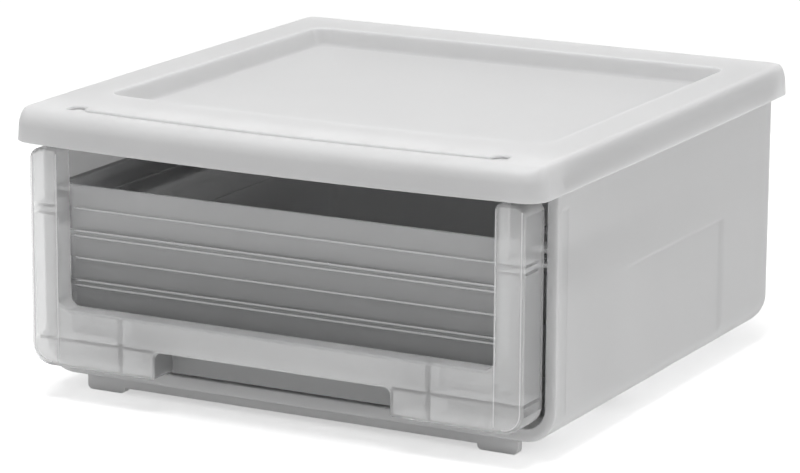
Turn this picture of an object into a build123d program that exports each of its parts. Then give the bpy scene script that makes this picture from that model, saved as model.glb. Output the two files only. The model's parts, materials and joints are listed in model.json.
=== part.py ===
"""Stackable drawer box for small parts: a casing on feet, a cover and one drawer.

Millimetres. X runs across the front, -Y is the front, +Z is up. The origin is at
the bottom, in the middle of the whole box.

The feature of most skill is the drawer's clear front: a hollow U-shaped moulding
with a window, a finger pocket and inner ribs, fitted to the ribbed tub behind it.
"""
import os
from math import atan2, degrees

from build123d import *

os.makedirs("parts", exist_ok=True)

# Whole box
overall_width = 405.0
overall_depth = 430.0
overall_height = 203.0
wall = 2.5
front_line = -overall_depth / 2
rear_line = overall_depth / 2

# Cover
cover_height = 23.0
skirt_flare = 1.5
cover_front_bow = 9.5
cover_side_bow = 1.6
cover_corner_radius = 24.0
cover_edge_radius = 12.0
cover_foot = overall_height - cover_height
skirt_angle = degrees(atan2(skirt_flare, cover_height))
cover_rib_thickness = 2.0
cover_rib_pitch_x = overall_width * 0.148
cover_rib_pitch_y = overall_depth * 0.15
cover_rib_overlap = 6.0

# Recess in the cover, which takes the feet of a box above
recess_half_width = overall_width / 2 - 34.0
recess_front_setback = 83.5
recess_rear_setback = 48.0
recess_depth = 13.0
recess_run = 5.5
recess_front_bow = 6.5
recess_corner_radius = 14.0
recess_floor = overall_height - recess_depth
recess_angle = degrees(atan2(recess_run, recess_depth))

# Groove along the front of the cover
groove_setback = 17.5
groove_half_length = recess_half_width - 2.5
groove_width = 7.0
groove_depth = 3.5
groove_bow = 7.5
groove_end_length = 17.0
groove_end_width = 18.5
groove_end_radius = 4.0

# Casing
casing_half_width = overall_width / 2 - 5.5
casing_front = front_line + 44.0
casing_rear = rear_line - 18.0
casing_depth = casing_rear - casing_front
casing_bottom = 12.0
casing_top = overall_height - 13.0
casing_low_radius = 23.0
casing_rear_radius = 18.0
casing_inner = casing_half_width - wall
inner_rear = casing_rear - wall
rim_thickness = 3.0
rim_side = 8.5
rim_bottom = 9.0
rim_top = 10.0

# The casing's top flange carries the cover, whose hooks catch under its inner edge
top_flange_inner = recess_half_width + 5.5
top_flange_front = 16.0
top_flange_rear = 22.0
top_flange_radius = 10.0
hook_clearance = 0.3
hook_half_length = 6.0
hook_catch = 1.8
hook_bottom = casing_top - wall - hook_clearance - wall

# Feet: two runners each side that fit the recess of a box below, and a bar with two
# tabs under the front rim
foot_height = casing_bottom
foot_outer = recess_half_width - 2.0
foot_width = 24.0
foot_taper = 3.5
foot_angle = degrees(atan2(foot_taper, foot_height))
foot_radius = 5.0
foot_gap = 30.0
middle_foot_share = 0.337
feet_start = casing_front + 51.0
feet_end = rear_line - recess_rear_setback - 3.0
middle_foot_end = feet_start + (feet_end - feet_start - foot_gap) * middle_foot_share
bar_front = casing_front + 7.0
bar_thickness = 6.0
bar_bottom = 4.0
tab_width = 30.0
tab_radius = 3.5

# Drawer front
fascia_front = front_line + 14.0
fascia_depth = 27.0
fascia_rear = fascia_front + fascia_depth
fascia_half_width = casing_half_width - 9.0
fascia_bottom = casing_bottom + 12.5
fascia_top = cover_foot - 3.5
fascia_wall = 2.2
fascia_back = fascia_front + fascia_wall
fascia_top_radius = 9.0
fascia_low_radius = 15.0
fascia_end_radius = 3.0
fascia_edge_radius = 2.0
window_half_width = fascia_half_width - 22.0
window_sill = fascia_bottom + 40.7
window_radius = 9.0
notch_half_width = fascia_half_width * 0.48
notch_top = fascia_bottom + 19.5
notch_radius = 5.0
fascia_rib_at = notch_half_width + 27.5
fascia_rib_width = 4.0

# Drawer tub
tub_half_width = casing_half_width - 25.0
tub_front = fascia_front + 15.0
tub_rear = inner_rear - 2.5
tub_wall = 2.2
tub_bottom = notch_top + 1.0
tub_floor_top = tub_bottom + tub_wall
tub_top = fascia_top - 26.3
tub_corner_radius = 11.0
rib_pitch = 17.5
top_rib = tub_top - 16.2
rib_height = 3.7
band_step = 1.0
pad_clearance = 0.3
pad_at = 90.0
pad_width = 20.0
pad_low = tub_top - 65.0
pad_high = tub_top - 35.0

# Studs that hold the drawer front to the tub's floor, and seats for the tub's flanges
stud_at = (fascia_rib_at + window_half_width) / 2
stud_y = tub_front + 17.0
stud_radius = 4.0
stud_head = 0.9
stud_head_height = 1.6
stud_head_taper = 20.0
stud_clearance = 0.3
seat_clearance = 0.3
seat_thickness = 2.0

# Slides: flanges on the tub, and a rail on each side of the casing
flange_reach = 13.0
flange_thickness = 2.5
flange_top = top_rib + 1.2
flange_bottom = flange_top - flange_thickness
rail_inner = tub_half_width + 3.5
rail_front = casing_front + rim_thickness + 0.3
rail_rear = inner_rear - casing_rear_radius
rail_back_thickness = 2.0
ledge_thickness = 2.5
ledge_top = flange_bottom - 0.3
lug_height = 4.0
lug_length = 10.0
guide_clearance = 0.7
guide_bottom = flange_top + lug_height + guide_clearance
lug_setback = 38.0
lug_front = tub_rear - lug_setback
drawer_overlap = 68.0
drawer_travel = casing_depth - drawer_overlap
stop_rear = lug_front - drawer_travel
gusset_thickness = 2.0
gusset_drop = 16.0
gusset_pitch = 58.0
rail_low = ledge_top - ledge_thickness - gusset_drop
rail_high = guide_bottom + ledge_thickness
strip_width = 2.0
strip_clearance = 0.3

# Shallow shapes in the casing's sides
side_groove_setback = 5.0
side_groove_width = 11.0
side_groove_depth = 0.9
side_groove_top = cover_foot - 11.0
panel_front_setback = 85.0
panel_front = casing_front + panel_front_setback
panel_fade = 70.0
panel_rear_setback = 94.0
panel_rear = casing_rear - panel_rear_setback
panel_step = 9.0
panel_depth = 1.6
panel_top = rail_low - 4.4


def bowed_outline(level, half_width, front, rear, bow, side_bow, radius):
    """Plan outline at a level: straight rear, bowed front and sides, round corners.

    The front value is where the bow comes furthest forward.
    """
    corner = front + bow
    middle = (corner + rear) / 2
    with BuildSketch(Plane.XY.offset(level)) as outline:
        with BuildLine():
            ThreePointArc((-half_width, corner), (0, front), (half_width, corner))
            if side_bow > 0:
                widest = half_width + side_bow
                ThreePointArc((half_width, corner), (widest, middle), (half_width, rear))
                Line((half_width, rear), (-half_width, rear))
                ThreePointArc((-half_width, rear), (-widest, middle), (-half_width, corner))
            else:
                Line((half_width, corner), (half_width, rear))
                Line((half_width, rear), (-half_width, rear))
                Line((-half_width, rear), (-half_width, corner))
        make_face()
        fillet(outline.vertices(), radius=radius)
    return outline.sketch


def cover_outline(level, inset):
    """The cover's outline at a level, drawn in by an inset."""
    return bowed_outline(
        level,
        overall_width / 2 - cover_side_bow - inset,
        front_line + inset,
        rear_line - inset,
        cover_front_bow,
        cover_side_bow,
        cover_corner_radius - inset,
    )


def recess_outline(level, inset):
    """The recess's outline at a level, drawn in by an inset."""
    return bowed_outline(
        level,
        recess_half_width - inset,
        front_line + recess_front_setback - recess_front_bow + inset,
        rear_line - recess_rear_setback - inset,
        recess_front_bow,
        0,
        recess_corner_radius - inset,
    )


def groove_outline(level, grow):
    """The front groove's outline at a level, grown by a margin."""
    front = front_line + groove_setback - grow
    rear = front + groove_width + 2 * grow
    half_length = groove_half_length + grow
    end_width = groove_end_width + 2 * grow
    end_at = groove_half_length - groove_end_length / 2
    end_y = front + groove_bow * (end_at / groove_half_length) ** 2 + end_width / 2
    left = (-half_length, front + groove_bow)
    right = (half_length, front + groove_bow)
    left_rear = (-half_length, rear + groove_bow)
    right_rear = (half_length, rear + groove_bow)
    with BuildSketch(Plane.XY.offset(level)) as outline:
        with BuildLine():
            ThreePointArc(left, (0, front), right)
            Line(right, right_rear)
            ThreePointArc(right_rear, (0, rear), left_rear)
            Line(left_rear, left)
        make_face()
        with Locations((-end_at, end_y), (end_at, end_y)):
            RectangleRounded(groove_end_length + 2 * grow, end_width, groove_end_radius + grow)
    return outline.sketch


def casing_section(inset, top):
    """The casing's section across X, drawn in from its outer walls by an inset."""
    bottom = casing_bottom + inset
    with BuildSketch(Plane.XZ.offset(-casing_front)) as section:
        with Locations((0, (bottom + top) / 2)):
            Rectangle(2 * (casing_half_width - inset), top - bottom)
        fillet(section.vertices().sort_by(Axis.Y)[:2], radius=casing_low_radius - inset)
    return section.sketch


def casing_block(inset, top):
    """A block of the casing's shape with its rear edges rounded, drawn in by an inset."""
    with BuildPart() as block:
        extrude(casing_section(inset, top), amount=-(casing_depth - inset))
        rear_edges = block.faces().sort_by(Axis.Y)[-1].edges()
        fillet(rear_edges.sort_by(Axis.Z)[:-1], radius=casing_rear_radius - inset)
    return block.part


def tub_plan(level, inset):
    """The tub's plan outline at a level, drawn in by an inset."""
    with BuildSketch(Plane.XY.offset(level)) as plan:
        with Locations((0, (tub_front + tub_rear) / 2)):
            RectangleRounded(
                2 * (tub_half_width - inset),
                tub_rear - tub_front - 2 * inset,
                tub_corner_radius - inset,
            )
    return plan.sketch


def box_between(low, high, mode=Mode.ADD):
    """Draw a box from its low corner to its high corner."""
    size = [b - a for a, b in zip(low, high)]
    middle = [(a + b) / 2 for a, b in zip(low, high)]
    with Locations(tuple(middle)):
        Box(*size, mode=mode)


def box_on(side, low, high, mode=Mode.ADD):
    """Draw a box given as on the right: side is 1 there, or -1 for its twin on the left."""
    ends = sorted((side * low[0], side * high[0]))
    box_between((ends[0], low[1], low[2]), (ends[1], high[1], high[2]), mode)


def box_pair(low, high, mode=Mode.ADD):
    """Draw a box given as on the right, and its twin on the left."""
    for side in (-1, 1):
        box_on(side, low, high, mode)


def make_foot(side, start, end):
    """A foot under the casing's floor, narrower at its sole."""
    with BuildPart() as foot:
        with BuildSketch(Plane.XY.offset(foot_height)):
            with Locations((side * (foot_outer - foot_width / 2), (start + end) / 2)):
                RectangleRounded(foot_width, end - start, foot_radius)
        extrude(amount=-foot_height, taper=foot_angle)
    return foot.part


def make_rail(side):
    """A rail on the casing's side wall: a ledge, a guide over it and a front stop."""
    with BuildPart() as rail:
        box_on(
            side,
            (casing_inner - rail_back_thickness, rail_front, rail_low),
            (casing_inner, rail_rear, rail_high),
        )
        box_on(
            side,
            (rail_inner, rail_front, ledge_top - ledge_thickness),
            (casing_inner, rail_rear, ledge_top),
        )
        box_on(
            side,
            (rail_inner + 2.0, rail_front, guide_bottom),
            (casing_inner, rail_rear, rail_high),
        )
        box_on(
            side,
            (rail_inner + 2.0, stop_rear - lug_length, flange_top + guide_clearance),
            (casing_inner, stop_rear, guide_bottom),
        )
        gusset_top = ledge_top - ledge_thickness
        gusset_start = rail_front + gusset_pitch / 3
        gusset_room = rail_rear - gusset_thickness - gusset_start
        for number in range(int(gusset_room // gusset_pitch) + 1):
            gusset_y = gusset_start + number * gusset_pitch
            with BuildSketch(Plane.XZ.offset(-gusset_y)):
                with BuildLine():
                    Polyline(
                        (side * (rail_inner + 3.0), gusset_top),
                        (side * casing_inner, gusset_top),
                        (side * casing_inner, rail_low),
                        close=True,
                    )
                make_face()
            extrude(amount=-gusset_thickness)
    return rail.part


# ---------------------------------------------------------------- top cover
with BuildPart() as cover_hollow:
    extrude(cover_outline(cover_foot, wall), amount=cover_height - wall, taper=skirt_angle)
    hollow_top = cover_hollow.faces().sort_by(Axis.Z)[-1]
    fillet(hollow_top.edges(), radius=cover_edge_radius - wall)

with BuildPart() as recess_skin:
    extrude(recess_outline(overall_height, -wall), amount=-(recess_depth + wall), taper=recess_angle)

with BuildPart() as groove_skin:
    extrude(groove_outline(overall_height, wall), amount=-(groove_depth + wall))

# Ribs between the skirt and the recess that stand on the casing's top flange, and
# hooks that catch under the flange's inner edge
with BuildPart() as cover_ribs:
    for step in range(-2, 3):
        y = step * cover_rib_pitch_y - cover_rib_thickness / 2
        box_pair(
            (recess_half_width - recess_run, y, casing_top),
            (overall_width / 2, y + cover_rib_thickness, overall_height),
        )
        x = step * cover_rib_pitch_x - cover_rib_thickness / 2
        box_between(
            (x, front_line, casing_top),
            (
                x + cover_rib_thickness,
                front_line + recess_front_setback + cover_rib_overlap,
                overall_height,
            ),
        )
        box_between(
            (x, rear_line - recess_rear_setback - cover_rib_overlap, casing_top),
            (x + cover_rib_thickness, rear_line, overall_height),
        )
    hook_face = top_flange_inner - hook_clearance
    for y in (-cover_rib_pitch_y, cover_rib_pitch_y):
        box_pair(
            (hook_face - wall, y - hook_half_length, hook_bottom),
            (hook_face, y + hook_half_length, casing_top + wall),
        )
        box_pair(
            (hook_face - wall, y - hook_half_length, hook_bottom),
            (hook_face + hook_catch, y + hook_half_length, hook_bottom + wall),
        )

with BuildPart() as top_cover:
    extrude(cover_outline(cover_foot, 0), amount=cover_height, taper=skirt_angle)
    cover_face = top_cover.faces().sort_by(Axis.Z)[-1]
    fillet(cover_face.edges(), radius=cover_edge_radius)
    cover_space = cover_hollow.part - recess_skin.part - groove_skin.part - cover_ribs.part
    add(cover_space, mode=Mode.SUBTRACT)
    extrude(
        recess_outline(overall_height, 0),
        amount=-recess_depth,
        taper=recess_angle,
        mode=Mode.SUBTRACT,
    )
    extrude(groove_outline(overall_height, 0), amount=-groove_depth, mode=Mode.SUBTRACT)

# ------------------------------------------------------------------- casing
with BuildPart() as side_shapes:
    # Groove behind the front rim, then the shallow panel that fades in from the front
    groove_start = casing_front + side_groove_setback
    box_between(
        (-overall_width / 2, groove_start, casing_bottom + wall),
        (overall_width / 2, groove_start + side_groove_width, side_groove_top),
    )
    extrude(
        casing_section(side_groove_depth, casing_top),
        amount=-casing_depth,
        mode=Mode.SUBTRACT,
    )
    for side in (-1, 1):
        face = side * casing_half_width
        deep = side * (casing_half_width - panel_depth)
        clear = side * (casing_half_width + wall)
        with BuildSketch():
            with BuildLine():
                Polyline(
                    (face, panel_front),
                    (deep, panel_front + panel_fade),
                    (deep, panel_rear - panel_step),
                    (face, panel_rear),
                    (clear, panel_rear),
                    (clear, panel_front),
                    close=True,
                )
            make_face()
        extrude(amount=panel_top)

with BuildPart() as casing_hollow:
    add(casing_block(wall, casing_top - wall))
    # The wall keeps its thickness behind the shallow panel
    box_pair(
        (casing_inner - panel_depth, panel_front + panel_fade / 2, casing_bottom),
        (casing_half_width, panel_rear, panel_top + wall),
        mode=Mode.SUBTRACT,
    )
    # The front rim stands between the mouth and the hollow
    box_between(
        (-overall_width, casing_front - wall, 0),
        (overall_width, casing_front + rim_thickness, overall_height),
        mode=Mode.SUBTRACT,
    )
    # Strips on the side walls hold the rails
    for low in (rail_low - strip_clearance - strip_width, rail_high + strip_clearance):
        box_pair(
            (casing_inner - strip_width, rail_front, low),
            (casing_half_width, rail_rear, low + strip_width),
            mode=Mode.SUBTRACT,
        )

with BuildPart() as casing_mouth:
    with BuildSketch(Plane.XZ.offset(-casing_front)) as mouth:
        mouth_low = casing_bottom + rim_bottom
        mouth_high = casing_top - rim_top
        with Locations((0, (mouth_low + mouth_high) / 2)):
            Rectangle(2 * (casing_half_width - rim_side), mouth_high - mouth_low)
        fillet(mouth.vertices().sort_by(Axis.Y)[:2], radius=casing_low_radius - rim_side)
    extrude(amount=-rim_thickness)

with BuildPart() as casing_top_opening:
    opening_front = casing_front + top_flange_front
    opening_rear = casing_rear - top_flange_rear
    with BuildSketch(Plane.XY.offset(casing_top - 2 * wall)):
        with Locations((0, (opening_front + opening_rear) / 2)):
            RectangleRounded(
                2 * top_flange_inner, opening_rear - opening_front, top_flange_radius
            )
    extrude(amount=3 * wall)

with BuildPart() as casing:
    add(casing_block(0, casing_top))
    add(side_shapes.part, mode=Mode.SUBTRACT)
    add(casing_hollow.part, mode=Mode.SUBTRACT)
    add(casing_mouth.part, mode=Mode.SUBTRACT)
    add(casing_top_opening.part, mode=Mode.SUBTRACT)

# --------------------------------------------------------------- drawer tub
# The wall draws in at the first and third rib, and a bead goes round at the others
band_levels = (tub_bottom, top_rib - 2 * rib_pitch, top_rib, tub_top)
bead_levels = (top_rib - 3 * rib_pitch, top_rib - rib_pitch)

with BuildPart() as tub_hollow:
    for number in range(3):
        low = max(band_levels[number], tub_floor_top)
        inset = tub_wall + (2 - number) * band_step
        extrude(tub_plan(low, inset), amount=band_levels[number + 1] - low)

with BuildPart() as drawer_tub:
    for number in range(3):
        low = band_levels[number]
        band = tub_plan(low, (2 - number) * band_step)
        extrude(band, amount=band_levels[number + 1] - low)
    for number in range(2):
        low = bead_levels[number] - rib_height / 2
        extrude(tub_plan(low, (1 - number) * band_step), amount=rib_height)
    # Flanges that slide on the runners, with lugs that meet the stops
    box_pair(
        (tub_half_width - tub_wall, tub_front + 2.0, flange_bottom),
        (tub_half_width + flange_reach, tub_rear, flange_top),
    )
    box_pair(
        (rail_inner + 2.5, lug_front, flange_top),
        (tub_half_width + flange_reach, lug_front + lug_length, flange_top + lug_height),
    )
    # Pads that end the closing stroke on the casing's rear wall
    box_pair(
        (pad_at, tub_rear - 3 * band_step, pad_low),
        (pad_at + pad_width, inner_rear - pad_clearance, pad_high),
    )
    add(tub_hollow.part, mode=Mode.SUBTRACT)
    with BuildSketch(Plane.XY.offset(tub_bottom)):
        with Locations((-stud_at, stud_y), (stud_at, stud_y)):
            Circle(stud_radius + stud_clearance)
    extrude(amount=tub_wall, mode=Mode.SUBTRACT)

# ------------------------------------------------------------- drawer front
with BuildSketch() as window_shape:
    with Locations((0, (window_sill + fascia_top + fascia_wall) / 2)):
        Rectangle(2 * window_half_width, fascia_top + fascia_wall - window_sill)
    fillet(window_shape.vertices().sort_by(Axis.Y)[:2], radius=window_radius)

with BuildSketch() as notch_shape:
    with Locations((0, (notch_top + fascia_bottom - fascia_wall) / 2)):
        Rectangle(2 * notch_half_width, notch_top - fascia_bottom + fascia_wall)
    fillet(notch_shape.vertices().sort_by(Axis.Y)[-2:], radius=notch_radius)

with BuildSketch(Plane.XZ.offset(-fascia_front)) as fascia_shape:
    with Locations((0, (fascia_bottom + fascia_top) / 2)):
        Rectangle(2 * fascia_half_width, fascia_top - fascia_bottom)
    fillet(fascia_shape.vertices().sort_by(Axis.Y)[:2], radius=fascia_low_radius)
    fillet(fascia_shape.vertices().sort_by(Axis.Y)[-2:], radius=fascia_top_radius)
    add(window_shape.sketch, mode=Mode.SUBTRACT)
    add(notch_shape.sketch, mode=Mode.SUBTRACT)
    cut_ends = fascia_shape.vertices().filter_by(
        lambda corner: corner.Y > fascia_top - 0.01
        and abs(abs(corner.X) - window_half_width) < 0.01
        or corner.Y < fascia_bottom + 0.01
        and abs(abs(corner.X) - notch_half_width) < 0.01
    )
    fillet(cut_ends, radius=fascia_end_radius)

with BuildSketch(Plane.XZ.offset(-fascia_back)) as hollow_shape:
    add(fascia_shape.sketch_local)
    offset(amount=-fascia_wall, mode=Mode.REPLACE)

with BuildPart() as tub_room:
    extrude(tub_plan(tub_bottom, 0), amount=overall_height - tub_bottom)

with BuildPart() as fascia_inside:
    # Seats above and below the front ends of the tub's flanges
    for low in (flange_top + seat_clearance, flange_bottom - seat_clearance - seat_thickness):
        box_pair(
            (window_half_width, fascia_front + fascia_wall / 2, low),
            (fascia_half_width - fascia_wall / 2, fascia_rear - 4.0, low + seat_thickness),
        )
    # Shelf under the tub's floor, with a tongue that carries a stud each side
    box_pair(
        (notch_half_width + fascia_wall / 2, fascia_front + fascia_wall / 2, tub_bottom - wall),
        (fascia_half_width - fascia_wall / 2, fascia_rear, tub_bottom),
    )
    box_pair(
        (notch_half_width + fascia_wall, fascia_rear, tub_bottom - wall),
        (window_half_width, stud_y + 3 * stud_radius, tub_bottom),
    )
    # Upright ribs beside the notch
    box_pair(
        (
            fascia_rib_at - fascia_rib_width / 2,
            fascia_front + fascia_wall / 2,
            fascia_bottom + fascia_wall / 2,
        ),
        (
            fascia_rib_at + fascia_rib_width / 2,
            fascia_rear,
            window_sill - fascia_wall / 2,
        ),
    )

with BuildPart() as drawer_front:
    extrude(fascia_shape.sketch, amount=-fascia_depth)
    front_face = drawer_front.faces().sort_by(Axis.Y)[0]
    fillet(front_face.edges(), radius=fascia_edge_radius)
    extrude(hollow_shape.sketch, amount=-fascia_depth, mode=Mode.SUBTRACT)
    add(fascia_inside.part)
    # Finger pocket: the notch stays open upwards behind the front plate
    box_between(
        (-notch_half_width, fascia_back, notch_top - notch_radius),
        (notch_half_width, fascia_rear, notch_top + fascia_wall + 1.0),
        mode=Mode.SUBTRACT,
    )
    box_between(
        (-notch_half_width - fascia_wall, fascia_rear - fascia_wall, fascia_bottom),
        (notch_half_width + fascia_wall, fascia_rear, tub_bottom),
    )
    add(tub_room.part, mode=Mode.SUBTRACT)
    with BuildSketch(Plane.XY.offset(tub_bottom)):
        with Locations((-stud_at, stud_y), (stud_at, stud_y)):
            Circle(stud_radius)
    extrude(amount=tub_wall + stud_clearance)
    with BuildSketch(Plane.XY.offset(tub_floor_top + stud_clearance)):
        with Locations((-stud_at, stud_y), (stud_at, stud_y)):
            Circle(stud_radius + stud_head)
    extrude(amount=stud_head_height, taper=stud_head_taper)

# ------------------------------------------------------------ feet and rails
tab_at = foot_outer - tab_width / 2
with BuildPart() as front_foot:
    with BuildSketch(Plane.XZ.offset(-bar_front)) as bar_shape:
        with Locations((-tab_at, foot_height / 2), (tab_at, foot_height / 2)):
            Rectangle(tab_width, foot_height)
        fillet(bar_shape.vertices().sort_by(Axis.Y)[:4], radius=tab_radius)
        with Locations((0, (bar_bottom + foot_height) / 2)):
            Rectangle(2 * tab_at, foot_height - bar_bottom)
    extrude(amount=-bar_thickness)

pieces = {
    "top_cover": top_cover.part,
    "casing": casing.part,
    "drawer_tub": drawer_tub.part,
    "drawer_front": drawer_front.part,
    "front_foot": front_foot.part,
}
for side, side_name in ((-1, "left"), (1, "right")):
    pieces[f"middle_{side_name}_foot"] = make_foot(side, feet_start, middle_foot_end)
    pieces[f"rear_{side_name}_foot"] = make_foot(side, middle_foot_end + foot_gap, feet_end)
    pieces[f"{side_name}_rail"] = make_rail(side)

for name, piece in pieces.items():
    piece.label = name
    export_step(piece, f"parts/{name}.step")
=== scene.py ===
"""Dress the stackable drawer box: a cover, a casing, a ribbed tub and a clear drawer front."""

import json
import logging
import math
from collections.abc import Callable, Sequence
from dataclasses import dataclass, field
from enum import Enum, IntEnum

import bmesh
import bpy
from bmesh.types import BMesh, BMVert
from mathutils import Matrix, Vector

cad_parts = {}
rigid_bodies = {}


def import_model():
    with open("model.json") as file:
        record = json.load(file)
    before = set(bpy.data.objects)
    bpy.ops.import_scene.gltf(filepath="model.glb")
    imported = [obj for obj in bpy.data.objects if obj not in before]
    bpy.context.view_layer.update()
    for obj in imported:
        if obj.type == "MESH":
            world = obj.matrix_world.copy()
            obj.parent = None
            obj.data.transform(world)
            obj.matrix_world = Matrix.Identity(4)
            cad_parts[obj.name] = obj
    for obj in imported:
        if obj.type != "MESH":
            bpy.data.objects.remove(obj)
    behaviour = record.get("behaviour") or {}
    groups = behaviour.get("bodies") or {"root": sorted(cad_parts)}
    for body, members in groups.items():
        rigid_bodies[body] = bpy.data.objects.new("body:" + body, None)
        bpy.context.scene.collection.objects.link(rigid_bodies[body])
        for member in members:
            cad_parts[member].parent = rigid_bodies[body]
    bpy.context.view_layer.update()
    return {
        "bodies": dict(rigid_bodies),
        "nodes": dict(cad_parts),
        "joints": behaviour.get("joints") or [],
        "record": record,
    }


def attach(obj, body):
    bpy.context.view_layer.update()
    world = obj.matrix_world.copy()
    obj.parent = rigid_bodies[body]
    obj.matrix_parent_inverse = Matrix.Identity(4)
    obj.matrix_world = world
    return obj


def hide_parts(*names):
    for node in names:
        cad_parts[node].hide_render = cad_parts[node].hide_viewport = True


log = logging.getLogger("drawer_box")
MM = 0.001
WELD = 1e-6
SHARP_ANGLE = 32.0
FINE_TURNS = (0.0, 0.4, 0.8, 1.2, math.pi / 2)
COARSE_TURNS = (0.0, 0.5, 1.0, math.pi / 2)
MIX_A, MIX_B, MIX_RESULT = 6, 7, 2  # a Mix node's colour sockets
Colour = tuple[float, float, float]
Corner = tuple[float, float, float]  # two coordinates and a radius
Place = tuple[float, float, float]
Point = tuple[float, float]
EdgePoint = tuple[float, float, float, float]  # a point and its outward direction


class Body(Enum):
    """The bodies that pieces ride on."""

    CASING = "casing_body"
    DRAWER = "drawer_body"


class Slot(Enum):
    """The record's material slots."""

    CASING = "casing_plastic"
    COVER = "cover_plastic"
    TUB = "tub_plastic"
    FRONT = "front_plastic"


class FrontFace(IntEnum):
    """The finishes on the drawer front's faces, as indices of its materials."""

    CLEAR = 0
    # the pocket behind the notch, with a darker colour as painted shade
    POCKET = 1
    # the side returns, which let more light through and whose darker colour is painted shade
    SIDE = 2


# ------------------------------------------------------------------ finishes
@dataclass(frozen=True)
class PlasticFinish:
    """A moulded plastic: its colour, its sheen, its grain, how much light it lets through and,
    where set, a painted shade that darkens it towards the bottom.
    """

    name: str
    colour: Colour
    roughness: float
    sheen_spread: float = 0.04
    grain: float = 0.9
    grain_depth: float = 0.012
    grain_strength: float = 0.6
    mottle: float = 0.02
    cloud_scale: float = 14.0
    clear: float = 0.0
    bend: float = 1.49
    milk: float = 0.0
    milk_reach: float = 0.02
    # painted shade: the colour towards which the wall darkens near the bottom, and the levels over
    # which it does
    deep: Colour | None = None
    painted_shade_from: float = 70.0
    painted_shade_to: float = 145.0

    def material(self) -> bpy.types.Material:
        """Build the finish as nodes.

        Returns:
            A material with fine grain, faint cloudiness and an uneven sheen.
        """
        material = bpy.data.materials.new(self.name)
        material.use_nodes = True
        nodes, links = material.node_tree.nodes, material.node_tree.links
        shader = nodes["Principled BSDF"]
        shader.inputs["IOR"].default_value = self.bend
        shader.inputs["Transmission Weight"].default_value = self.clear
        shader.inputs["Subsurface Weight"].default_value = self.milk
        shader.inputs["Subsurface Radius"].default_value = (1.0, 1.0, 1.0)
        shader.inputs["Subsurface Scale"].default_value = self.milk_reach
        place = nodes.new("ShaderNodeTexCoord")

        cloud = nodes.new("ShaderNodeTexNoise")
        cloud.inputs["Scale"].default_value = self.cloud_scale
        cloud.inputs["Detail"].default_value = 3.0
        links.new(place.outputs["Object"], cloud.inputs["Vector"])
        tint = nodes.new("ShaderNodeMix")
        tint.data_type = "RGBA"
        low = [part * (1 - self.mottle) for part in self.colour]
        high = [min(1.0, part * (1 + self.mottle)) for part in self.colour]
        tint.inputs[MIX_A].default_value = (*low, 1)
        tint.inputs[MIX_B].default_value = (*high, 1)
        links.new(cloud.outputs["Fac"], tint.inputs[0])
        # painted shade: darker towards the bottom where a shade colour is given
        colour = self.painted_shade_below(nodes, links, place, tint.outputs[MIX_RESULT])
        links.new(colour, shader.inputs["Base Color"])

        sheen = nodes.new("ShaderNodeMapRange")
        sheen.inputs["To Min"].default_value = self.roughness - self.sheen_spread
        sheen.inputs["To Max"].default_value = self.roughness + self.sheen_spread
        links.new(cloud.outputs["Fac"], sheen.inputs["Value"])
        links.new(sheen.outputs["Result"], shader.inputs["Roughness"])

        grain = nodes.new("ShaderNodeTexNoise")
        grain.inputs["Scale"].default_value = 1 / (self.grain * MM)
        grain.inputs["Detail"].default_value = 2.0
        links.new(place.outputs["Object"], grain.inputs["Vector"])
        bump = nodes.new("ShaderNodeBump")
        bump.inputs["Strength"].default_value = self.grain_strength
        bump.inputs["Distance"].default_value = self.grain_depth * MM
        links.new(grain.outputs["Fac"], bump.inputs["Height"])
        links.new(bump.outputs["Normal"], shader.inputs["Normal"])
        return material

    def painted_shade_below(
        self,
        nodes: bpy.types.Nodes,
        links: bpy.types.NodeLinks,
        place: bpy.types.Node,
        colour: bpy.types.NodeSocket,
    ) -> bpy.types.NodeSocket:
        """Paint shade on a frosted wall: darker towards the floor of its box.

        Args:
            nodes: The material's nodes.
            links: Its links.
            place: The node that gives the coordinates.
            colour: The colour at the wall's top.

        Returns:
            The colour as it is, or blended below into the painted shade colour.
        """
        if not self.deep:
            return colour
        split = nodes.new("ShaderNodeSeparateXYZ")
        links.new(place.outputs["Object"], split.inputs["Vector"])
        height = nodes.new("ShaderNodeMapRange")
        height.interpolation_type = "SMOOTHSTEP"
        height.inputs["From Min"].default_value = self.painted_shade_from * MM
        height.inputs["From Max"].default_value = self.painted_shade_to * MM
        links.new(split.outputs["Z"], height.inputs["Value"])
        blend = nodes.new("ShaderNodeMix")
        blend.data_type = "RGBA"
        blend.inputs[MIX_A].default_value = (*self.deep, 1)
        links.new(height.outputs["Result"], blend.inputs[0])
        links.new(colour, blend.inputs[MIX_B])
        return blend.outputs[MIX_RESULT]


COVER_SATIN = PlasticFinish("cover_satin", (0.855, 0.855, 0.86), 0.42, milk=0.8)
CASING_SATIN = PlasticFinish("casing_satin", (0.90, 0.90, 0.905), 0.45, milk=0.8)
# painted shade: the tub darkens towards its floor
TUB_FROST = PlasticFinish(
    "tub_frost", (0.95, 0.952, 0.955), 0.30, grain_depth=0.006, clear=0.66, bend=1.12,
    deep=(0.57, 0.573, 0.576)
)
# painted shade: the lips are darker than the tub, as dark lines where the steps shade the wall,
# and darken further towards the bottom
LIP_PAINTED_SHADE = PlasticFinish(
    "lip_painted_shade", (0.72, 0.725, 0.73), 0.30, grain_depth=0.004, deep=(0.48, 0.485, 0.49)
)
FRONT_CLEAR = PlasticFinish(
    "front_clear", (0.985, 0.987, 0.99), 0.20, grain_depth=0.004, clear=0.68, bend=1.07
)
# painted shade: the darker colour of the pocket behind the notch
FRONT_POCKET_SHADE = PlasticFinish(
    "front_pocket_shade", (0.50, 0.503, 0.506), 0.25, grain_depth=0.004, clear=0.3, bend=1.1
)
# painted shade: the darker colour of the side returns, which also let more light through
FRONT_SIDE_SHADE = PlasticFinish(
    "front_side_shade", (0.81, 0.812, 0.815), 0.20, grain_depth=0.004, clear=0.85, bend=1.05
)
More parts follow.
